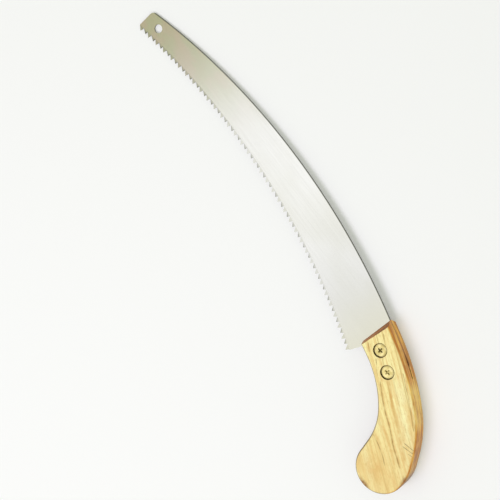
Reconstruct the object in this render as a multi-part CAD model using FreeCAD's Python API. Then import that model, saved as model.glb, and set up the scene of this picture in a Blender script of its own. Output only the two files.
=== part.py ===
import FreeCAD, Part
import math
import os

# Fixed-blade pruning saw: a thin curved blade with set, bevelled teeth, clamped in the slot of a hooked
# wooden handle by two screws that thread into sleeve nuts from the other side.
# Lengths are in mm, angles in degrees. The saw is drawn with the origin where the blade's back edge
# leaves the handle, +X from the handle to the tip, +Y towards the teeth and +Z square to the blade. At
# the end all pieces move together, so that the origin is the centre of the base of the saw's box.

# Blade
BLADE_THICKNESS = 1.2
BLADE_LENGTH = 356.2  # along the roots of the teeth
BACK_RADIUS = 648.6
BACK_HEADING = -4.0  # of the back edge where it leaves the handle
TOOTH_LINE_RADIUS = 662.9  # of the roots of the teeth
TOOTH_LINE_HEADING = -8.5  # of the tooth line at the heel
HEEL_X = -7.6  # the blade's heel, at the roots of the teeth
HEEL_Y = 47.7
TIP_SKEW = 11.7  # of the end edge, from square to the tooth line
TIP_CORNER_ROUND = 5.5

# Teeth
TOOTH_PITCH = 5.16
TOOTH_DEPTH = 3.9
TOOTH_FACE_RUN = 1.0  # from the gullet on the handle's side to the point, along the tooth line
TOOTH_SET = 0.35  # how far a point is bent out of the blade's face
GULLET_FLAT = 0.15
BEVEL_SHARE = 0.5  # height of the bevel's foot on the inner face, as a share of the depth

# Hanging hole
HANG_HOLE_D = 8.0
HANG_HOLE_FROM_END = 15.5
HANG_HOLE_FROM_BACK = 10.1

# Handle
HANDLE_THICKNESS = 20.0
HANDLE_EDGE_ROUND = 2.6
NOSE_WIDTH = 32.0
NOSE_LEAN = 10.1  # of the front end, from square to +X
NOSE_BEVEL_BACK = 4.2  # how far the front end's bevels reach along the handle, on its back
NOSE_BEVEL_BELLY = 2.2  # and on its belly
NOSE_LAND = 0.9  # flat wood left on each side of the slot
CUTTER_MARGIN = 5.0  # how far the cutters of the bevels reach past the wood
BACK_FRONT_CORNER = (-47.5, 2.9)  # corners of the outline, each rounded by the radius below it
BACK_FRONT_ROUND = 230.0
BACK_REAR_CORNER = (-99.9, 21.4)
BACK_REAR_ROUND = 105.0
BELLY_CORNER = (-41.1, 32.3)
BELLY_ROUND = 101.0
BUTT_X = -112.0  # centre of the round butt
BUTT_Y = 69.0
BUTT_RADIUS = 23.6
BUTT_BACK_HEADING = 78.0  # of the outline where the back runs into the butt
BUTT_BACK_RUN = 12.3
BUTT_BACK_ROUND = 39.0
HOOK_HEADING = 243.5  # of the outline where the butt runs into the grip's hollow
HOOK_RUN = 30.3
HOOK_ROUND = 56.0

# Tang, the part of the blade that the handle holds, and its slot
TANG_LENGTH = 46.5  # along the handle's back
TANG_WIDTH = 26.0
TANG_BACK_INSET = 0.4  # of the tang's rear corner, from the handle's back
TANG_BACK_ROUND = 10.0  # of that corner
TANG_CORNER_ROUND = 3.0  # of the other corners
TANG_END_GAP = 5.0  # between the tang and the bottom of the slot
SLOT_CLEARANCE = 0.1  # on each side of the blade
SLOT_CUTTER_RADIUS = 125.0  # of the saw that cut the slot

# Row of the two screws
ROW_HEADING = 170.2  # from the front screw to the rear one
ROW_FROM_TANG_BACK = 19.7  # where the row meets the tang's end, from the tang's rear corner
REAR_FROM_TANG_END = 11.2  # of the rear screw, along the row
SCREW_SPACING = 19.9

# Screws and sleeve nuts
HEAD_D = 11.8
HEAD_RIM = 0.9  # height of the head's upright edge
HEAD_BEVEL_RISE = 0.45
HEAD_BEVEL_RUN = 1.1
HEAD_SINK = 0.3  # how far the top of the head lies below the wood
COUNTERBORE_CLEARANCE = 0.5
BARREL_D = 6.5
BARREL_CLEARANCE = 0.1
TANG_HOLE_CLEARANCE = 0.25
SHANK_D = 4.0
THREAD_CLEARANCE = 0.05
BARREL_SHORT = 2.0  # left between the barrel and the screw's head
SHANK_SHORT = 3.0  # left between the shank's end and the nut's head
BORE_EXTRA = 1.0  # the barrel's bore goes this much deeper than the shank
CROSS_WIDTH = 1.2
CROSS_SPAN = 5.2
CROSS_DEPTH = 1.1
CROSS_TAPER = 0.4  # share of its width and span that the recess loses with each mm of depth
CROSS_TURN = 20.0


def vec(x, y, z=0.0):
    return FreeCAD.Vector(x, y, z)


def heading(degrees):
    """Unit vector in the blade's plane, turned from +X towards +Y."""
    return vec(math.cos(math.radians(degrees)), math.sin(math.radians(degrees)))


def meet(start_a, along_a, start_b, along_b):
    """Point where two straight lines in the blade's plane cross."""
    gap = start_b - start_a
    cross = along_a.x * along_b.y - along_a.y * along_b.x
    return start_a + along_a * ((gap.x * along_b.y - gap.y * along_b.x) / cross)


def on_circle(centre, radius, start, along):
    """Point where a line that starts inside the circle leaves it."""
    gap = start - centre
    half = gap.dot(along)
    return start + along * (-half + math.sqrt(half**2 - gap.dot(gap) + radius**2))


def rounded_outline(corners):
    """Closed wire through the corners, each (point, radius) rounded by a tangent arc, or sharp at 0.
    Two arcs that would overlap on the side between them shrink until they meet."""
    points = [point for point, radius in corners]
    sides = [b - a for a, b in zip(points, points[1:] + points[:1])]
    half_angles = [(-sides[i - 1]).getAngle(sides[i]) / 2 for i in range(len(corners))]
    reaches = [radius / math.tan(half) for (_, radius), half in zip(corners, half_angles)]
    fits = [
        min(1, side.Length / max(reach + reaches[(i + 1) % len(reaches)], 1e-6))
        for i, (side, reach) in enumerate(zip(sides, reaches))
    ]
    arcs = []
    for i, (point, half) in enumerate(zip(points, half_angles)):
        reach = reaches[i] * min(fits[i - 1], fits[i])
        radius = reach * math.tan(half)
        back = -vec(sides[i - 1].x, sides[i - 1].y).normalize()
        ahead = vec(sides[i].x, sides[i].y).normalize()
        middle = (back + ahead).normalize() * (radius / math.sin(half) - radius)
        arcs.append((point + back * reach, point + middle, point + ahead * reach))
    edges = []
    for i, (start, middle, end) in enumerate(arcs):
        last_end = arcs[i - 1][2]
        if last_end.distanceToPoint(start) > 1e-3:
            edges.append(Part.makeLine(last_end, start))
        else:
            start = last_end
        if start.distanceToPoint(end) > 1e-3:
            edges.append(Part.Arc(start, middle, end).toShape())
    return Part.Wire(edges)


def plate(wire, low, high):
    """Flat solid of the wire's shape between two heights."""
    solid = Part.Face(wire).extrude(vec(0, 0, high - low))
    solid.translate(vec(0, 0, low))
    return solid


def cylinder(diameter, low, high, centre):
    return Part.makeCylinder(diameter / 2, high - low, vec(centre.x, centre.y, low))


def round_upright(solid, point, radius):
    """Rounds the upright edge of the solid that stands at the point."""
    edges = [
        e
        for e in solid.Edges
        if all(vec(v.X, v.Y).distanceToPoint(point) < 1e-3 for v in e.Vertexes)
    ]
    return solid.makeFillet(radius, edges)


# Places that several pieces share
half_blade = BLADE_THICKNESS / 2
half_slot = half_blade + SLOT_CLEARANCE
half_handle = HANDLE_THICKNESS / 2
head_seat = half_handle - HEAD_SINK - HEAD_BEVEL_RISE - HEAD_RIM
nose_back = vec(0, 0)
nose_along = heading(90 + NOSE_LEAN)
nose_belly = nose_back + nose_along * NOSE_WIDTH
nose_inward = heading(180 + NOSE_LEAN)
back_centre = heading(BACK_HEADING + 90) * BACK_RADIUS
tooth_centre = vec(HEEL_X, HEEL_Y) + heading(TOOTH_LINE_HEADING + 90) * TOOTH_LINE_RADIUS
back_along = (vec(*BACK_FRONT_CORNER) - nose_back).normalize()
tang_back = nose_back + back_along * TANG_LENGTH + nose_along * TANG_BACK_INSET
tang_belly = tang_back + nose_along * TANG_WIDTH
row = heading(ROW_HEADING)
rear_seat = tang_back + nose_along * ROW_FROM_TANG_BACK - row * REAR_FROM_TANG_END
seats = {"front": rear_seat - row * SCREW_SPACING, "rear": rear_seat}


def tooth_line(distance, height=0.0, z=0.0):
    """Point at a distance from the heel along the tooth roots, raised towards the teeth."""
    turn = TOOTH_LINE_HEADING + math.degrees(distance / TOOTH_LINE_RADIUS)
    point = tooth_centre + heading(turn - 90) * (TOOTH_LINE_RADIUS - height)
    return vec(point.x, point.y, z)


def tip_edge():
    """Tooth-side end of the blade's end edge, and the edge's direction towards the back."""
    turn = TOOTH_LINE_HEADING + math.degrees(BLADE_LENGTH / TOOTH_LINE_RADIUS)
    return tooth_line(BLADE_LENGTH), heading(turn - 90 - TIP_SKEW)


def tooth_feet():
    """Where each tooth starts and ends along the tooth line, from the tip back to the heel."""
    count = int((BLADE_LENGTH - GULLET_FLAT) / TOOTH_PITCH)
    ends = [BLADE_LENGTH - i * TOOTH_PITCH for i in range(count)]
    return [(end - TOOTH_PITCH + GULLET_FLAT, end) for end in ends]


def tooth(start, end, side):
    """One tooth, bent to one side. Its flanks are bevelled, so only the outer face is whole."""
    point_at = start + TOOTH_FACE_RUN
    outer, inner = side * half_blade, -side * half_blade
    foot_a, foot_b = tooth_line(start, 0, outer), tooth_line(end, 0, outer)
    inner_a, inner_b = tooth_line(start, 0, inner), tooth_line(end, 0, inner)
    point = tooth_line(point_at, TOOTH_DEPTH, outer + side * TOOTH_SET)
    bevel_foot = tooth_line(
        point_at, TOOTH_DEPTH * BEVEL_SHARE, inner + side * TOOTH_SET * BEVEL_SHARE
    )
    loops = [
        (foot_a, foot_b, inner_b, inner_a),
        (foot_a, foot_b, point),
        (inner_a, inner_b, bevel_foot),
        (foot_a, inner_a, point),
        (inner_a, bevel_foot, point),
        (foot_b, inner_b, point),
        (inner_b, bevel_foot, point),
    ]
    faces = [Part.Face(Part.makePolygon([*loop, loop[0]])) for loop in loops]
    solid = Part.Solid(Part.Shell(faces))
    if solid.Volume < 0:
        solid.reverse()
    return solid


def handle_corners():
    """Corners of the handle's outline with their radii, from the nose round by the butt."""
    butt = vec(BUTT_X, BUTT_Y)

    def tangent_point(turn):
        return butt + heading(270 - turn) * BUTT_RADIUS

    def travel(turn):
        return heading(180 - turn)

    def butt_corner(turn_a, turn_b):
        reach = BUTT_RADIUS / math.cos(math.radians(turn_b - turn_a) / 2)
        return butt + heading(270 - (turn_a + turn_b) / 2) * reach

    middle = (BUTT_BACK_HEADING + HOOK_HEADING) / 2
    butt_back = tangent_point(BUTT_BACK_HEADING) - travel(BUTT_BACK_HEADING) * BUTT_BACK_RUN
    hook = tangent_point(HOOK_HEADING) + travel(HOOK_HEADING) * HOOK_RUN
    return [
        (nose_back, 0),
        (vec(*BACK_FRONT_CORNER), BACK_FRONT_ROUND),
        (vec(*BACK_REAR_CORNER), BACK_REAR_ROUND),
        (butt_back, BUTT_BACK_ROUND),
        (butt_corner(BUTT_BACK_HEADING, middle), BUTT_RADIUS),
        (butt_corner(middle, HOOK_HEADING), BUTT_RADIUS),
        (hook, HOOK_ROUND),
        (vec(*BELLY_CORNER), BELLY_ROUND),
        (nose_belly, 0),
    ]


def make_blade():
    end_start, end_along = tip_edge()
    end_corner = on_circle(back_centre, BACK_RADIUS, end_start, end_along)
    heel = tooth_line(0)
    neck = meet(heel, heading(TOOTH_LINE_HEADING - 90), tang_belly, heading(0))
    middle = back_centre + ((nose_back + end_corner) / 2 - back_centre).normalize() * BACK_RADIUS
    roots = [heel]
    for start, end in reversed(tooth_feet()):
        roots += [tooth_line(start), tooth_line(end)]
    straight = [*roots, end_corner]
    lines = [Part.makeLine(a, b) for a, b in zip(straight, straight[1:])]
    tang = [nose_back, tang_back, tang_belly, neck, heel]
    lines += [Part.makeLine(a, b) for a, b in zip(tang, tang[1:])]
    arc = Part.Arc(end_corner, middle, nose_back).toShape()
    outline = Part.Wire(Part.sortEdges([*lines, arc])[0])
    solid = plate(outline, -half_blade, half_blade)
    solid = round_upright(solid, end_corner, TIP_CORNER_ROUND)
    solid = round_upright(solid, tang_back, TANG_BACK_ROUND)
    for corner in (tang_belly, neck):
        solid = round_upright(solid, corner, TANG_CORNER_ROUND)
    teeth = [tooth(*feet, (-1) ** i) for i, feet in enumerate(tooth_feet())]
    solid = solid.multiFuse(teeth).removeSplitter()
    holes = [cylinder(HANG_HOLE_D, -half_blade, half_blade, hang_hole())]
    for seat in seats.values():
        holes.append(cylinder(BARREL_D + 2 * TANG_HOLE_CLEARANCE, -half_blade, half_blade, seat))
    return solid.cut(holes)


def hang_hole():
    """Centre of the hanging hole, from the blade's end edge and its back edge."""
    end_start, end_along = tip_edge()
    inward = vec(-end_along.y, end_along.x)
    if inward.x > 0:
        inward = -inward
    start = end_start + inward * HANG_HOLE_FROM_END
    return on_circle(back_centre, BACK_RADIUS - HANG_HOLE_FROM_BACK, start, end_along)


def make_handle():
    solid = plate(rounded_outline(handle_corners()), -half_handle, half_handle)
    solid = solid.makeFillet(HANDLE_EDGE_ROUND, rims(solid))
    cuts = [*nose_bevels(), slot()]
    for seat in seats.values():
        cuts.append(cylinder(BARREL_D + 2 * BARREL_CLEARANCE, -half_handle, half_handle, seat))
        bore = HEAD_D + 2 * COUNTERBORE_CLEARANCE
        cuts.append(cylinder(bore, head_seat, half_handle, seat))
        cuts.append(cylinder(bore, -half_handle, -head_seat, seat))
    return solid.cut(cuts)


def rims(solid):
    """Edges of the handle's two flat faces, without those along its front end."""
    found = []
    for edge in solid.Edges:
        box = edge.BoundBox
        flat = box.ZLength < 1e-6
        reach = max((v.Point - nose_back).dot(nose_inward) for v in edge.Vertexes)
        if flat and reach > 1e-3:
            found.append(edge)
    return found


def nose_bevels():
    """Wedges that slope the front end from a narrow land at the slot back to the flat faces."""
    land = half_slot + NOSE_LAND
    outside = -nose_inward * HANDLE_THICKNESS
    wedges = []
    for side in (1, -1):
        profiles = []
        for place in (-CUTTER_MARGIN, NOSE_WIDTH + CUTTER_MARGIN):
            run = NOSE_BEVEL_BACK + (NOSE_BEVEL_BELLY - NOSE_BEVEL_BACK) * place / NOSE_WIDTH
            slope = nose_inward * run / (half_handle - land) + vec(0, 0, side)
            low = nose_back + nose_along * place + vec(0, 0, side * land)
            high = low + slope * HANDLE_THICKNESS
            profiles.append(Part.makePolygon([low, high, high + outside, low + outside, low]))
        wedges.append(Part.makeLoft(profiles, True, True))
    return wedges


def slot():
    """Saw cut for the blade, open at the front, the back and the belly, with a round bottom."""
    depth = TANG_LENGTH + TANG_END_GAP
    deepest = nose_back + nose_along * (NOSE_WIDTH / 2) + nose_inward * depth
    cutter_centre = deepest - nose_inward * SLOT_CUTTER_RADIUS
    return cylinder(2 * SLOT_CUTTER_RADIUS, -half_slot, half_slot, cutter_centre)


def head(seat):
    """Flat head with a bevelled edge that stands on its seat, facing +Z."""
    rim_top = head_seat + HEAD_RIM
    flat_radius = HEAD_D / 2 - HEAD_BEVEL_RUN
    bevel = Part.makeCone(HEAD_D / 2, flat_radius, HEAD_BEVEL_RISE, vec(seat.x, seat.y, rim_top))
    return cylinder(HEAD_D, head_seat, rim_top, seat).fuse(bevel)


def cross_recess(seat):
    """Cross-shaped driver recess, narrowing towards its bottom. It starts above the head."""
    arms = []
    for turn in (CROSS_TURN, CROSS_TURN + 90):
        along = heading(turn) * (CROSS_SPAN / 2)
        across = heading(turn + 90) * (CROSS_WIDTH / 2)
        loops = []
        for depth in (-HEAD_SINK, CROSS_DEPTH):
            share = 1 - CROSS_TAPER * depth
            centre = vec(seat.x, seat.y, half_handle - HEAD_SINK - depth)
            ends = [along * share * i + across * share * j for i, j in ((1, 1), (-1, 1), (-1, -1), (1, -1))]
            loops.append(Part.makePolygon([centre + e for e in [*ends, ends[0]]]))
        arms.append(Part.makeLoft(loops, True))
    return arms


def make_screw(seat):
    shank_end = -head_seat + SHANK_SHORT
    shank = cylinder(SHANK_D, shank_end, head_seat, seat)
    return head(seat).fuse(shank).cut(cross_recess(seat))


def make_sleeve_nut(seat):
    barrel = cylinder(BARREL_D, -head_seat, head_seat - BARREL_SHORT, seat)
    bore_end = -head_seat + SHANK_SHORT - BORE_EXTRA
    bore = cylinder(SHANK_D + 2 * THREAD_CLEARANCE, bore_end, head_seat, seat)
    under = head(seat).rotate(seat, vec(1, 0, 0), 180)
    return under.fuse(barrel).cut(bore)


pieces = {"blade": make_blade(), "handle": make_handle()}
for name, seat in seats.items():
    pieces[name + "_screw"] = make_screw(seat)
    pieces[name + "_sleeve_nut"] = make_sleeve_nut(seat)

box = FreeCAD.BoundBox()
for piece in pieces.values():
    box.add(piece.optimalBoundingBox())
origin = vec(box.Center.x, box.Center.y, box.ZMin)

os.makedirs("parts", exist_ok=True)
for name, piece in pieces.items():
    piece.translate(-origin)
    piece.exportStep("parts/" + name + ".step")
    print(name, "solids", len(piece.Solids), "valid", piece.isValid(), "volume", round(piece.Volume, 1))
print("box", [round(s, 2) for s in (box.XLength, box.YLength, box.ZLength)])
print("origin", [round(c, 3) for c in origin])
print("hanging hole", [round(c, 3) for c in hang_hole() - origin])
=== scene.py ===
import math

import bmesh
import bpy
from mathutils import Matrix, Vector


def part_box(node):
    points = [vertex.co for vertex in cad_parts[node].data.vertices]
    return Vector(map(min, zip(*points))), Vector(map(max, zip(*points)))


# Looks of a pruning saw that lies on its side on a pale floor. Lengths are in metres.

# View: the blade is seen from above, a little from its back and from its tip
PICTURE_TURN = math.radians(120.0)  # from the picture's right to the saw's +X, in the blade's plane
TILT_RIGHT = math.radians(27.0)  # of the camera from the blade's normal
TILT_UP = math.radians(11.0)
CAMERA_DISTANCE = 1.2
FIELD_OF_VIEW = math.radians(21.29)
SENSOR_WIDTH = 36.0  # in millimetres, as Blender wants it
TARGET_FROM_CENTRE = (0.0076, 0.0471)  # point of the blade's plane in the middle of the picture

# Light
WORLD_LIGHT = (0.53, 0.572, 0.45)  # dim and a little olive, so the shadows are too
LAMPS = {  # place right, up and out of the picture, width, power in watts, colour, and if metal mirrors it
    "softbox": ((-0.29, -0.3, 1.1), 1.1, 1.25, (1, 1, 1), True),
    "glint": ((-0.48, -0.03, 1.1), 0.4, 0.13, (1, 1, 1), True),
    "overhead": ((-0.3, -0.72, 2.2), 1.5, 23.5, (1.017, 0.935, 1.178), False),
}
FLOOR_SIZE = 4.0
FLOOR_COLOUR = (0.95, 0.95, 0.945)
FLOOR_GLOW = 0.93  # brightness that the camera and the metal see in the floor
FLOOR_GLOW_SHARE = 0.3  # the rest of what they see is light and shadow
FLOOR_GAP = 0.0002

# Noise: waves in a metre along X, Y and Z, after a turn about Z, then detail, roughness and seed
GRAIN_TURN = math.radians(13.0)
SCRATCH_TURN = math.radians(-12.0)
NOISES = {
    "drift": ((10, 60, 30), GRAIN_TURN, 2.0, 0.5, 0.0),
    "fine grain": ((14, 420, 240), GRAIN_TURN, 2.0, 0.5, 1.0),
    "ring bend": ((5, 14, 8), GRAIN_TURN, 1.0, 0.5, 2.0),
    "ring spacing": ((1, 70, 10), GRAIN_TURN, 1.0, 0.5, 3.0),
    "ring strength": ((14, 80, 30), GRAIN_TURN, 1.0, 0.5, 4.0),
    "stroke strength": ((150, 150, 150), 0.0, 3.0, 0.5, 5.0),
    "blotches": ((60, 150, 100), GRAIN_TURN, 3.0, 0.6, 6.0),
    "stroke sway": ((45, 45, 45), 0.0, 1.0, 0.5, 7.0),
    "hollow shade": ((170, 170, 170), 0.0, 1.0, 0.5, 8.0),
    "pores": ((260, 1100, 500), GRAIN_TURN, 2.0, 0.6, 10.0),
    "fibre": ((60, 2200, 900), GRAIN_TURN, 3.0, 0.6, 0.0),
    "side streaks": ((38, 60, 420), 0.0, 2.0, 0.5, 0.0),
    "steel scratches": ((25, 3500, 25), SCRATCH_TURN, 4.0, 0.7, 0.0),
    "steel clouds": ((14, 22, 14), 0.0, 2.0, 0.5, 0.0),
    "dim tip patches": ((34, 48, 34), 0.0, 2.0, 0.5, 9.0),
    "smears": ((300, 300, 300), 0.0, 3.0, 0.5, 0.0),
}

# Colours are given as the screen shows them, from 0 to 255.
# Two tones: a noise, its levels where the first and the second colour are full, and those colours
TONES = {
    "face": ("drift", 0.38, 0.62, (255, 250, 190), (253, 238, 168)),
    # the sides' brown is partly their own colour and partly painted shade
    "sides": ("side streaks", 0.4, 0.62, (255, 196, 84), (198, 112, 16)),
    # painted shade, olive brown, on the sides that face the belly and the butt
    "shaded sides": ("side streaks", 0.4, 0.62, (112, 94, 66), (86, 70, 50)),
    "end grain": ("side streaks", 0.4, 0.6, (192, 106, 28), (136, 66, 10)),
    # painted shade in the slot and around the screws' heads
    "hollow shade": ("hollow shade", 0.45, 0.6, (88, 70, 16), (156, 122, 60)),
    "steel": ("steel clouds", 0.35, 0.65, (203, 203, 200), (197, 197, 191)),
    # painted reflection: darker and yellower steel towards the tip
    "dim tip": ("dim tip patches", 0.4, 0.6, (176, 176, 138), (184, 172, 142)),
    "plating": ("smears", 0.4, 0.6, (228, 212, 152), (204, 187, 122)),
}

# Speckles: the levels of the noise of that name where they start and are full, their strength and colour
SPECKLES = {
    "fine grain": (0.45, 0.68, 0.6, (230, 192, 118)),
    "blotches": (0.5, 0.7, 0.45, (226, 178, 108)),
    "pores": (0.5, 0.66, 0.45, (218, 186, 108)),
    "fibre": (0.48, 0.72, 0.4, (190, 146, 80)),
    "steel scratches": (0.45, 0.8, 0.3, (184, 182, 172)),
}

# Tints: where along the saw they start and are full, their strength and colour
TINTS = {
    "tan butt": (-0.165, -0.215, 0.4, (232, 198, 132)),
    "yellow heel": (-0.06, -0.12, 0.4, (200, 196, 164)),
}
DIM_TIP_REACH = (0.08, 0.25)  # where along the saw the painted reflection, darker and yellower towards the tip, starts and is full

# Strokes: their strength and colour, then each one's start, end, width and bow, how far its middle is
# off a straight line
STROKES = {
    "pale patch": (0.75, (254, 248, 192), [((-0.2050, -0.0120), (-0.1550, -0.0300), 0.013, 0.0)]),
    "tan patch": (0.6, (222, 172, 96), [
        ((-0.2300, 0.0290), (-0.2010, 0.0275), 0.036, 0.0),
        ((-0.2290, -0.0040), (-0.2180, -0.0090), 0.008, 0.0),
        ((-0.1740, -0.0138), (-0.1470, -0.0240), 0.0045, 0.0),
    ]),
    "broad grain": (0.55, (214, 160, 76), [
        ((-0.2200, -0.0012), (-0.1510, -0.0222), 0.0050, 0.0008),
        ((-0.2217, 0.0104), (-0.1831, 0.0032), 0.0045, -0.0022),
        ((-0.1964, -0.0228), (-0.1534, -0.0385), 0.0030, 0.0),
        ((-0.2227, 0.0050), (-0.1499, -0.0145), 0.0045, 0.0016),
    ]),
    "dark grain": (0.75, (146, 112, 52), [
        ((-0.2227, 0.0052), (-0.1480, -0.0148), 0.0020, 0.0016),
        ((-0.2155, 0.0179), (-0.1860, 0.0142), 0.0018, -0.0013),
        ((-0.1425, -0.0153), (-0.1284, -0.0211), 0.0016, 0.0),
        ((-0.1190, -0.0350), (-0.1121, -0.0380), 0.0014, 0.0),
        ((-0.1207, -0.0187), (-0.1130, -0.0219), 0.0014, 0.0),
        ((-0.1985, -0.0222), (-0.1500, -0.0381), 0.0012, 0.0),
    ]),
    "scratch": (0.8, (112, 84, 44), [
        ((-0.2146, -0.0146), (-0.2048, -0.0092), 0.0012, 0.0),
        ((-0.2162, -0.0119), (-0.2065, -0.0065), 0.0012, 0.0),
        ((-0.2181, -0.0096), (-0.2145, -0.0074), 0.0012, 0.0),
    ]),
    "worn spot": (1.0, (120, 56, 14), [  # on the butt's edge, where the lacquer is gone
        ((-0.2280, 0.0434), (-0.2165, 0.0450), 0.008, 0.0),
        ((-0.2370, 0.0120), (-0.2325, 0.0050), 0.007, 0.0),
    ]),
    "pale side patch": (0.9, (255, 228, 142), [((-0.1950, -0.0240), (-0.1600, -0.0350), 0.016, 0.0)]),
    "dark side patch": (0.7, (176, 92, 10), [
        ((-0.2240, -0.0080), (-0.2010, -0.0215), 0.014, 0.0),
        ((-0.1480, -0.0410), (-0.1300, -0.0445), 0.012, 0.0),
    ]),
}
STROKE_SWAY = 0.0008  # how far strokes wander to each side
STROKE_NOISE = (0.35, 0.6)  # levels of its noise where a stroke is faintest and where it is full
FAINT_STROKE = 0.35  # share of its strength that is left where it is faintest
SWAY_NOISE = (0.2, 0.8)  # levels of its noise where a stroke is farthest to one side and to the other

# Lines of late wood
RINGS_PER_METRE = 118.0  # across the grain
RING_BEND = 2.4  # in rings
RING_UNEVENNESS = 1.6
RING_RISE = (0.7, 0.96)  # shares of a ring, where its line starts and is full
RING_FALL = (1.0, 0.98)  # the same from its other side
RING_STRENGTH = (0.4, 0.62, 0.1, 0.9)  # levels of its noise, and the strengths there
LATE_WOOD_STRENGTH = 0.75
LATE_WOOD = (196, 160, 86)

# Flatness, 0 on an upright surface and 1 on a level one: the steeper value, then the flatter one, and
# the look's strength at each
WOOD_EDGE = (0.70, 0.97, 0.95, 0.0)  # the colour of the sides, from the sides to the faces
STEEL_WALL = (0.2, 0.4, 1.0, 0.0)  # painted shade on the sheet's edge, from the sheet's edge to all else
TOOTH_BEVEL = (0.8, 0.97, 1.7, 0.0)  # painted shade on the teeth's bevels, from the bevels to their faces
SET_TOOTH = 0.998  # between the teeth's faces and the blade's
FLAT = 0.9  # the handle's faces, the slot's walls and the floors of the counterbores are flatter

# X or Y part of the normal of the handle's sides, and where it needs them the look's strengths there
BELLY_FACING = (-0.05, 0.35)  # Y, from the handle's back to its belly, where the fingers hold it; the sides facing the belly get painted shade
BUTT_FACING = (-0.95, -0.55, 0.8, 0.0)  # X, from the butt's end to the sides; the sides facing the butt get painted shade
END_FACING = (0.55, 0.8)  # X, from the sides to the front end
END_REACH = 0.03  # end grain lies this close to the front end

# The blade's back is an arc, with a band of painted shade along it
BACK_CENTRE = (-0.0592, 0.6015)
BACK_RADIUS = 0.6486
BACK_BAND = 0.0009
BACK_STRENGTH = 0.9
# colour of the painted shade along the back
BACK_SHADE_COLOUR = (84, 86, 70)

# The rest of the blade's look
TOOTH_SHADE = (0.2, 0.5)  # how much painted shade a tooth has at the heel, and at the tip
# colours of the painted shade on the set teeth's faces and on their bevels
SHADED_TOOTH_FACE = (150, 150, 124)
SHADED_BEVEL_COLOUR = (92, 92, 72)
# near-black painted shade on the sheet's edge
SHADED_SHEET_EDGE = (34, 36, 22)
TANG_EDGE = (176, 118, 56)

# Levels of the surface's noise, and the roughness there
WOOD_ROUGHNESS = (0.3, 0.8, 0.36, 0.5)
STEEL_ROUGHNESS = (0.3, 0.7, 0.18, 0.27)
PLATING_ROUGHNESS = (0.3, 0.7, 0.24, 0.38)
WOOD_BUMP = (0.00008, 0.5)  # height and strength
STEEL_BUMP = (0.00002, 0.4)

# Places where shade is painted: in the slot, in the wood around the screws' heads, in their cross recesses and
# on their edges, with a darker halo round each recess. Sizes are those of the solids
SLOT_REACH = 0.0008  # from the middle of the handle's thickness to just past the slot's walls
SLOT_OPEN = (0.042, 0.028)  # from the handle's front end, where the slot is open, and where the tang fills it
SLOT_SHADE = (1.0, 0.25)  # how much painted shade its walls have there
BORE_WALL = 0.0007  # from the edge of a screw's head to just past the wall around it
RIM_DEPTH = 0.00005  # from the edge of a screw's head to just inside it
RECESS_REACH = 0.0035  # from a screw's axis to just past its cross
HEAD_HEIGHT = 0.00135
CROWN_DEPTH = 0.0005  # the flat top of a head lies above this
SHADE_DEPTH = (0.00005, 0.0002)  # below the top of a head, where painted shade starts and where it is full
SHADE_STRENGTH = 0.92
HALO_REACH = (0.0012, 0.0028)  # from a screw's axis, where the darker halo starts to fade and where it ends
HALO_STRENGTH = 0.42
REAR_SHADE = 0.32  # share of the front screw's painted shade in its cross recess that the rear one has
REAR_HALO = 0.1
# colour of the painted shade in the cross recesses and on the heads' edges
RECESS_SHADE = (84, 68, 12)
# colour of the darker halo round each cross recess
HALO_COLOUR = (110, 92, 34)

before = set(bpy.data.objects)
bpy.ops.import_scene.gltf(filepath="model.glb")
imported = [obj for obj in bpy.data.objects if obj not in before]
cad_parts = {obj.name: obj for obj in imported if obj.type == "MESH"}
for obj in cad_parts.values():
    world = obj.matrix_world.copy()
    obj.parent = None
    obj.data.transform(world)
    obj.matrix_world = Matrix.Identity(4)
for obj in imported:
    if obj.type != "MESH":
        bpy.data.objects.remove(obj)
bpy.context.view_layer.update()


def middle_height():
    low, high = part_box("blade")
    return (low.z + high.z) / 2


def front_end():
    """Where the handle ends and the blade comes out."""
    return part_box("handle")[1].x


def head_radius():
    low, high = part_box("front_screw")
    return (high.x - low.x) / 2


def light(colour):
    """A colour as the screen shows it, turned into light by the sRGB curve."""
    shares = [value / 255 for value in colour]
    return (*(c / 12.92 if c <= 0.04045 else ((c + 0.055) / 1.055) ** 2.4 for c in shares), 1.0)


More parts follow.
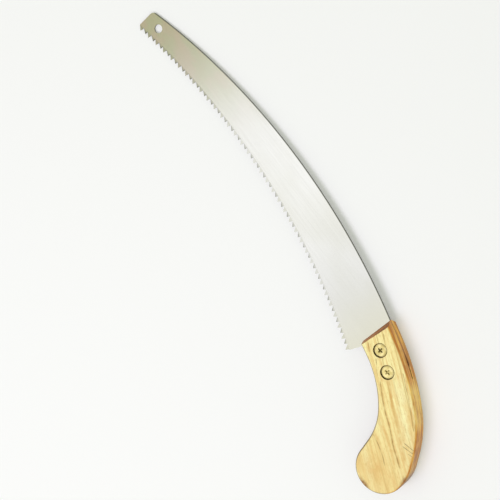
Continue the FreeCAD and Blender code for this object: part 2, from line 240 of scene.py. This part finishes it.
class Nodes:
    """The nodes of a material or of the world, written from the colours to the surface."""

    def __init__(self, data):
        self.data = data
        self.data.use_nodes = True
        self.tree = self.data.node_tree

    def node(self, kind, inputs=None, **settings):
        made = self.tree.nodes.new("ShaderNode" + kind)
        for key, value in settings.items():
            setattr(made, key, value)
        for key, value in (inputs or {}).items():
            self.plug(made.inputs[key], value)
        return made

    def plug(self, socket, value):
        """Sets a socket to a constant, or links it to another node's output."""
        if isinstance(value, bpy.types.NodeSocket):
            self.tree.links.new(value, socket)
        else:
            socket.default_value = value

    def finish(self, last, **inputs):
        """Plugs values into a node that is there from the start. A _ is a space in a socket's name."""
        for name, value in inputs.items():
            self.plug(self.tree.nodes[last].inputs[name.replace("_", " ")], value)
        return self.data

    def math(self, operation, a, b=0.0):
        return self.node("Math", {0: a, 1: b}, operation=operation).outputs[0]

    def spread(self, value, low, high, to_low=0.0, to_high=1.0):
        """Stretches the range from low to high over the range from to_low to to_high."""
        inputs = {0: value, 1: low, 2: high, 3: to_low, 4: to_high}
        return self.node("MapRange", inputs, interpolation_type="SMOOTHSTEP").outputs[0]

    def mix(self, share, a, b):
        """A share of b in a. Each is a colour as the screen shows it or another node's output."""
        a, b = (light(c) if isinstance(c, tuple) else c for c in (a, b))
        return self.node("Mix", {0: share, 6: a, 7: b}, data_type="RGBA").outputs[2]

    def bump(self, height, distance, strength):
        inputs = {"Height": height, "Distance": distance, "Strength": strength}
        return self.node("Bump", inputs).outputs[0]

    def axes(self):
        """X, Y and Z of the place on the object."""
        return tuple(self.node("SeparateXYZ", {0: self.node("TexCoord").outputs["Object"]}).outputs)

    def normal(self):
        """X, Y and Z of the surface's normal."""
        return tuple(self.node("SeparateXYZ", {0: self.node("NewGeometry").outputs["Normal"]}).outputs)

    def flatness(self):
        """1 where the surface is level and 0 where it is upright."""
        return self.math("ABSOLUTE", self.normal()[2])

    def turned(self, turn, scale=(1, 1, 1)):
        """Place on the object, turned about Z and then scaled along each axis."""
        where = self.node("TexCoord").outputs["Object"]
        turned = self.node("Mapping", {"Vector": where, "Rotation": (0, 0, turn)})
        return self.node("Mapping", {"Vector": turned.outputs[0], "Scale": scale}).outputs[0]

    def noise(self, name):
        """Uneven levels, most of them near 0.5."""
        scale, turn, detail, roughness, seed = NOISES[name]
        inputs = {
            "Vector": self.turned(turn, scale),
            "W": seed,
            "Scale": 1.0,
            "Detail": detail,
            "Roughness": roughness,
        }
        return self.node("TexNoise", inputs, noise_dimensions="4D").outputs["Fac"]

    def from_middle(self):
        """Height above or below the middle of the blade's thickness."""
        return self.math("ABSOLUTE", self.math("SUBTRACT", self.axes()[2], middle_height()))

    def from_screws(self):
        """Square of the distance from the axis of the nearest screw."""
        x, y, _ = self.axes()
        squares = []
        for name in ("front_screw", "rear_screw"):
            low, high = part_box(name)
            centre = (low + high) / 2
            along = self.math("SUBTRACT", x, centre.x)
            across = self.math("SUBTRACT", y, centre.y)
            squares.append(
                self.math("ADD", self.math("MULTIPLY", along, along), self.math("MULTIPLY", across, across))
            )
        return self.math("MINIMUM", *squares)

    def front_or_rear(self, rear):
        """1 on the front fasteners and another value on the rear ones."""
        return self.spread(self.axes()[0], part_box("rear_screw")[1].x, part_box("front_screw")[0].x, rear, 1.0)

    def stroke(self, start, end, width, bow, sway):
        """1 along a bowed line on the handle's face, fading to 0 at its edges and ends."""
        turn = -math.atan2(end[1] - start[1], end[0] - start[0])
        (first, level), (last, _) = (
            (x * math.cos(turn) - y * math.sin(turn), x * math.sin(turn) + y * math.cos(turn))
            for x, y in (start, end)
        )
        place = self.node("SeparateXYZ", {0: self.turned(turn)})
        along, across = place.outputs["X"], self.math("ADD", place.outputs["Y"], sway)
        share = self.math("DIVIDE", self.math("SUBTRACT", along, (first + last) / 2), (last - first) / 2)
        fall = self.math("MULTIPLY", self.math("MULTIPLY", share, share), bow)
        off = self.math("ABSOLUTE", self.math("ADD", self.math("SUBTRACT", across, level + bow), fall))
        starts = self.spread(along, first - width / 2, first + width / 2)
        ends = self.spread(along, last + width / 2, last - width / 2)
        return self.math("MULTIPLY", self.math("MULTIPLY", starts, ends), self.spread(off, width / 2, 0.0))

    def paint(self, base, name):
        """The base with strokes of one kind on it, a little unsteady and fainter here and there."""
        strength, tint, strokes = STROKES[name]
        unevenness, drift = self.noise("stroke strength"), self.noise("stroke sway")
        share = self.spread(unevenness, *STROKE_NOISE, FAINT_STROKE * strength, strength)
        sway = self.spread(drift, *SWAY_NOISE, -STROKE_SWAY, STROKE_SWAY)
        for stroke in strokes:
            base = self.mix(self.math("MULTIPLY", self.stroke(*stroke, sway), share), base, tint)
        return base

    def tone(self, name):
        """Two colours in patches."""
        noise, low, high, first, second = TONES[name]
        return self.mix(self.spread(self.noise(noise), low, high), first, second)

    def speckle(self, base, name):
        """The base with patches of another colour on it."""
        low, high, strength, tint = SPECKLES[name]
        return self.mix(self.spread(self.noise(name), low, high, 0.0, strength), base, tint)

    def tint(self, base, name):
        """The base with more and more of another colour along the saw."""
        start, full, strength, tint = TINTS[name]
        return self.mix(self.spread(self.axes()[0], start, full, 0.0, strength), base, tint)


def late_wood(made):
    """Faint lines of late wood along the grain, strong in some places and gone in others."""
    across = made.node("SeparateXYZ", {0: made.turned(GRAIN_TURN)}).outputs["Y"]
    bend = made.math("MULTIPLY", made.noise("ring bend"), RING_BEND)
    uneven = made.math("MULTIPLY", made.noise("ring spacing"), RING_UNEVENNESS)
    count = made.math("ADD", made.math("MULTIPLY", across, RINGS_PER_METRE), made.math("ADD", bend, uneven))
    ring = made.math("FRACT", count)
    line = made.math("MULTIPLY", made.spread(ring, *RING_RISE), made.spread(ring, *RING_FALL))
    line = made.math("MULTIPLY", line, made.spread(made.noise("ring strength"), *RING_STRENGTH))
    return made.math("MULTIPLY", line, LATE_WOOD_STRENGTH)


def wood_face(made):
    """Pale wood with fine long grain, tan towards the butt."""
    face = made.speckle(made.tone("face"), "fine grain")
    face = made.mix(late_wood(made), face, LATE_WOOD)
    face = made.speckle(made.tint(face, "tan butt"), "blotches")
    face = made.paint(made.paint(face, "pale patch"), "tan patch")
    face = made.speckle(face, "pores")
    for name in ("broad grain", "dark grain", "scratch"):
        face = made.paint(face, name)
    return face


def wood_sides(made):
    """Brown sides, partly their own colour and partly painted shade, with olive brown painted shade on the
    sides facing the belly and the butt, and reddish end grain on the front end.
    """
    sides = made.paint(made.paint(made.tone("sides"), "pale side patch"), "dark side patch")
    facing_tip, facing_teeth, _ = made.normal()
    belly, butt = made.spread(facing_teeth, *BELLY_FACING), made.spread(facing_tip, *BUTT_FACING)
    sides = made.mix(made.math("MAXIMUM", belly, butt), sides, made.tone("shaded sides"))
    in_front = made.math("GREATER_THAN", made.axes()[0], front_end() - END_REACH)
    end = made.math("MULTIPLY", made.spread(facing_tip, *END_FACING), in_front)
    return made.mix(end, sides, made.tone("end grain"))


def painted_hollow_shade(made):
    """Painted shade on the slot's walls, most where the tang leaves them open, and around the fasteners' heads.
    """
    flat = made.math("GREATER_THAN", made.flatness(), FLAT)
    slot = made.math("MULTIPLY", made.math("LESS_THAN", made.from_middle(), SLOT_REACH), flat)
    open_end, tang_end = (front_end() - reach for reach in SLOT_OPEN)
    slot = made.math("MULTIPLY", slot, made.spread(made.axes()[0], open_end, tang_end, *SLOT_SHADE))
    bore_reach = head_radius() + BORE_WALL
    return made.math("MAXIMUM", slot, made.math("LESS_THAN", made.from_screws(), bore_reach**2))


def wood():
    """Lacquered wood, pale on its faces, brown on its sides, partly painted shade, and with painted shade in
    the slot and around the screws' heads.
    """
    made = Nodes(bpy.data.materials.new("lacquered_wood"))
    base = made.mix(made.spread(made.flatness(), *WOOD_EDGE), wood_face(made), wood_sides(made))
    base = made.speckle(made.paint(base, "worn spot"), "fibre")
    fibre = made.noise("fibre")
    return made.finish(
        "Principled BSDF",
        Base_Color=made.mix(painted_hollow_shade(made), base, made.tone("hollow shade")),
        Roughness=made.spread(fibre, *WOOD_ROUGHNESS),
        Normal=made.bump(fibre, *WOOD_BUMP),
        Specular_IOR_Level=0.3,
        Coat_Weight=0.05,
        Coat_Roughness=0.25,
    )


def painted_back_shade(made):
    """A thin band of painted shade along the blade's back."""
    x, y, _ = made.axes()
    flat = made.node("CombineXYZ", {0: x, 1: y}).outputs[0]
    apart = made.node("VectorMath", {0: flat, 1: (*BACK_CENTRE, 0)}, operation="DISTANCE")
    start = BACK_RADIUS - BACK_BAND
    return made.spread(apart.outputs["Value"], start, start + BACK_BAND / 2, 0.0, BACK_STRENGTH)


def steel_face(made):
    """Bare steel with a painted reflection that is darker and yellower towards the tip, a little yellower at
    the heel, and a band of painted shade at its back.
    """
    dimmed_tip = made.mix(made.spread(made.axes()[0], *DIM_TIP_REACH), made.tone("steel"), made.tone("dim tip"))
    base = made.speckle(made.tint(dimmed_tip, "yellow heel"), "steel scratches")
    return made.mix(painted_back_shade(made), base, BACK_SHADE_COLOUR)


def steel():
    """Satin blade steel with fine scratches along it, painted shade on its teeth and near-black painted shade
    on its sheet's edge.
    """
    made = Nodes(bpy.data.materials.new("blade_steel"))
    x, flatness = made.axes()[0], made.flatness()
    # Painted shade: the set teeth's faces and bevels are darker than the blade, more towards the tip
    shade_share = made.spread(x, *DIM_TIP_REACH, *TOOTH_SHADE)
    tooth = made.math("MULTIPLY", made.math("LESS_THAN", flatness, SET_TOOTH), shade_share)
    base = made.mix(tooth, steel_face(made), SHADED_TOOTH_FACE)
    bevel = made.math("MULTIPLY", made.spread(flatness, *TOOTH_BEVEL), shade_share)
    base = made.mix(bevel, base, SHADED_BEVEL_COLOUR)
    # Painted shade: the sheet's edge is near black outside the handle, brown on the tang inside it, and not
    # metallic
    wall = made.spread(flatness, *STEEL_WALL)
    in_handle = made.math("LESS_THAN", x, front_end())
    base = made.mix(wall, base, made.mix(in_handle, SHADED_SHEET_EDGE, TANG_EDGE))
    scratches = made.noise("steel scratches")
    return made.finish(
        "Principled BSDF",
        Base_Color=base,
        Roughness=made.spread(scratches, *STEEL_ROUGHNESS),
        Normal=made.bump(scratches, *STEEL_BUMP),
        Metallic=made.math("SUBTRACT", 1.0, wall),
    )


def head_shade(made, depth):
    """Painted shade in the cross recess and on the upright edge of a head, none on its top."""
    in_head = made.math("LESS_THAN", depth, HEAD_HEIGHT)
    recess = made.math("LESS_THAN", made.from_screws(), RECESS_REACH**2)
    recess = made.math("MULTIPLY", recess, made.front_or_rear(REAR_SHADE))
    rim_reach = head_radius() - RIM_DEPTH
    rim = made.math("GREATER_THAN", made.from_screws(), rim_reach**2)
    place = made.math("MULTIPLY", in_head, made.math("MAXIMUM", recess, rim))
    return made.math("MULTIPLY", place, made.spread(depth, *SHADE_DEPTH, 0.0, SHADE_STRENGTH))


def head_halo(made, depth):
    """A darker halo on the top of a head, around its cross recess."""
    near = made.spread(made.from_screws(), *(reach**2 for reach in HALO_REACH), HALO_STRENGTH, 0.0)
    on_top = made.math("LESS_THAN", depth, CROWN_DEPTH)
    return made.math("MULTIPLY", made.math("MULTIPLY", near, on_top), made.front_or_rear(REAR_HALO))


def plating():
    """Pale yellow plating of the screws and nuts, with painted shade in the cross recess and on the heads'
    edges, and a darker halo round each recess.
    """
    made = Nodes(bpy.data.materials.new("plated_steel"))
    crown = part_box("front_screw")[1].z - middle_height()
    depth = made.math("SUBTRACT", crown, made.from_middle())
    base = made.mix(head_shade(made, depth), made.tone("plating"), RECESS_SHADE)
    return made.finish(
        "Principled BSDF",
        Base_Color=made.mix(head_halo(made, depth), base, HALO_COLOUR),
        Roughness=made.spread(made.noise("smears"), *PLATING_ROUGHNESS),
        Metallic=1.0,
    )


def dress(nodes, material):
    for name in nodes:
        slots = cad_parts[name].data.materials
        slots.clear()
        slots.append(material)


def picture_axes():
    """The picture's right and up, seen in the blade's plane."""
    right = Vector((math.cos(PICTURE_TURN), -math.sin(PICTURE_TURN), 0))
    up = Vector((math.sin(PICTURE_TURN), math.cos(PICTURE_TURN), 0))
    return right, up


def target():
    return Vector((*TARGET_FROM_CENTRE, middle_height()))


def in_picture(right, up, out):
    """A point at these distances from the target."""
    right_axis, up_axis = picture_axes()
    return target() + right_axis * right + up_axis * up + Vector((0, 0, out))


def aim_at_target(thing, place):
    """Puts a camera or lamp at a place, looking at the target, with the picture's up upwards."""
    back = (place - target()).normalized()
    right = picture_axes()[1].cross(back).normalized()
    turn = Matrix((right, back.cross(right), back)).transposed()
    thing.matrix_world = Matrix.Translation(place) @ turn.to_4x4()


def add_object(name, data):
    added = bpy.data.objects.new(name, data)
    bpy.context.collection.objects.link(added)
    return added


def add_camera():
    data = bpy.data.cameras.new("camera")
    data.sensor_width = SENSOR_WIDTH
    data.lens = SENSOR_WIDTH / 2 / math.tan(FIELD_OF_VIEW / 2)
    camera = add_object("camera", data)
    back = in_picture(math.tan(TILT_RIGHT), math.tan(TILT_UP), 1) - target()
    aim_at_target(camera, target() + back.normalized() * CAMERA_DISTANCE)
    bpy.context.scene.camera = camera


def add_lamps():
    for name, (place, width, power, tint, mirrored) in LAMPS.items():
        data = bpy.data.lights.new(name, "AREA")
        data.shape = "DISK"
        data.size = width
        data.energy = power
        data.color = tint
        lamp = add_object(name, data)
        lamp.visible_glossy = mirrored
        aim_at_target(lamp, in_picture(*place))


def seen(made):
    """1 for what the camera and the metal see, and 0 for the light that falls on all else."""
    rays = made.node("LightPath").outputs
    return made.math("MAXIMUM", rays["Is Camera Ray"], rays["Is Glossy Ray"])


def add_world():
    """Dim light from all round, whose place the camera and the metal see as white as the floor."""
    made = Nodes(bpy.data.worlds.new("studio"))
    inputs = {0: seen(made), 6: (*WORLD_LIGHT, 1), 7: (FLOOR_GLOW, FLOOR_GLOW, FLOOR_GLOW, 1)}
    shown = made.node("Mix", inputs, data_type="RGBA").outputs[2]
    bpy.context.scene.world = made.finish("Background", Color=shown)


def floor_surface():
    """Matt white that the camera and the metal see a little brighter than it is lit."""
    made = Nodes(bpy.data.materials.new("floor"))
    made.finish("Principled BSDF", Base_Color=(*FLOOR_COLOUR, 1), Roughness=0.9, Specular_IOR_Level=0.1)
    lit = made.tree.nodes["Principled BSDF"].outputs[0]
    glow = made.node("Emission", {"Strength": FLOOR_GLOW}).outputs[0]
    share = made.math("MULTIPLY", seen(made), FLOOR_GLOW_SHARE)
    both = made.node("MixShader", {0: share, 1: lit, 2: glow}).outputs[0]
    return made.finish("Material Output", Surface=both)


def add_floor():
    """Pale floor that the saw rests on with the front of its handle and the tip of its blade."""
    low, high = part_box("blade")
    pivot = front_end()
    slope = math.atan2(low.z, high.x - pivot)
    mesh = bpy.data.meshes.new("floor")
    shape = bmesh.new()
    bmesh.ops.create_grid(shape, x_segments=8, y_segments=8, size=FLOOR_SIZE / 2)
    shape.to_mesh(mesh)
    shape.free()
    mesh.materials.append(floor_surface())
    floor = add_object("floor", mesh)
    floor.matrix_world = Matrix.Translation((pivot, 0, -FLOOR_GAP)) @ Matrix.Rotation(-slope, 4, "Y")


dress(["handle"], wood())
dress(["blade"], steel())
dress(["front_screw", "rear_screw", "front_sleeve_nut", "rear_sleeve_nut"], plating())
add_camera()
add_lamps()
add_world()
add_floor()
bpy.context.scene.view_settings.view_transform = "Standard"
